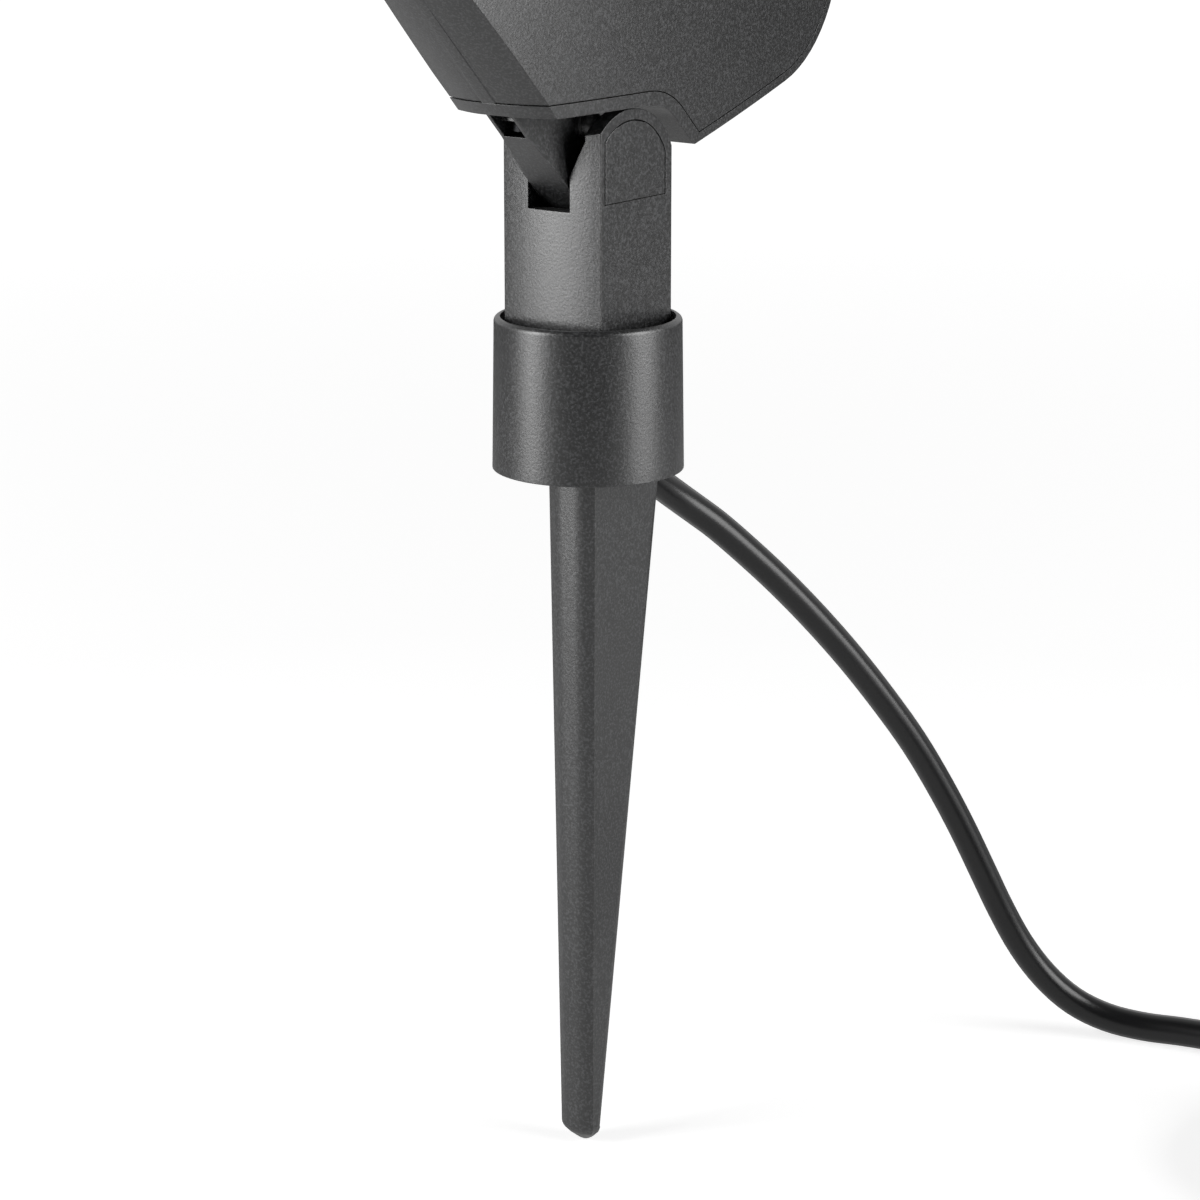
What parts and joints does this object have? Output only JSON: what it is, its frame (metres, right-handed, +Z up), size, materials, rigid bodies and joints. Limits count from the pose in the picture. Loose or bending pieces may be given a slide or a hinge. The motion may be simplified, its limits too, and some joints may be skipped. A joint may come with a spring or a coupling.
{
  "type": "landscape spotlight",
  "caption": "Garden spotlight: slim crowned head tilting on a forked stem that turns in the collar of a wedge ground spike, with a rubber cable and low-voltage connector.",
  "frame": {"origin": "centre of the collar's foot, which stands at ground level, where the spike enters the soil", "axes": "+Z up along the spike and stem, -Y towards the lit side, X along the tilt axis"},
  "size_m": [0.2422, 0.2161, 0.3562],
  "materials": {
    "powder_coat": "fine textured anthracite powder coat on die-cast aluminium",
    "spike_coat": "matt moulded plastic with a fine speckle",
    "rubber": "matt black rubber",
    "lead_sheath": "soft black sheath",
    "black_plastic": "moulded black plastic",
    "white_plastic": "smooth white reflector",
    "clear_glass": "clear toughened glass",
    "steel": "stainless steel",
    "contact_brass": "plated contact pins",
    "bare_aluminium": "bare aluminium",
    "board_white": "white solder mask",
    "led_yellow": "phosphor over the light sources",
    "board_green": "green solder mask",
    "component_black": "potted components"
  },
  "bodies": {
    "root": {"ground_spike": "spike_coat", "spike_screws": "steel", "collar": "powder_coat", "cable_gland": "rubber", "base_lead": "lead_sheath", "cable": "rubber", "cable_coil": "rubber", "cable_tie": "black_plastic", "plug_body": "black_plastic", "plug_nut": "black_plastic", "plug_contacts": "contact_brass", "swivel_washer": "black_plastic"},
    "stem_body": {"stem": "powder_coat", "right_ear_cover": "powder_coat", "left_ear_cover": "powder_coat", "pivot_bolt": "steel", "pivot_nut": "steel", "pivot_washers": "steel", "swivel_nut": "steel", "stem_lead": "lead_sheath"},
    "head_body": {"tilt_arm": "powder_coat", "stop_pin": "powder_coat", "arm_screws": "steel", "arm_plate": "steel", "lead_seal": "rubber", "head_lead": "lead_sheath", "head_shell": "powder_coat", "bottom_cover": "powder_coat", "cover_seal": "rubber", "cover_screws": "steel", "front_bezel": "powder_coat", "bezel_screws": "steel", "lens_glass": "clear_glass", "lens_seal": "rubber", "reflector": "white_plastic", "led_board": "board_white", "led_chips": "led_yellow", "heat_spreader": "bare_aluminium", "driver_board": "board_green", "driver_parts": "component_black", "board_screws": "steel"}
  },
  "joints": [
    {"name": "stem_swivel", "type": "hinge", "parent": "root", "child": "stem_body", "pos_m": [0, 0, 0.02], "axis": [0, 0, 1], "range_deg": [-170, 170]},
    {"name": "head_tilt", "type": "hinge", "parent": "stem_body", "child": "head_body", "pos_m": [0, -0.002, 0.0683], "axis": [1, 0, 0], "range_deg": [-44, 18]}
  ]
}
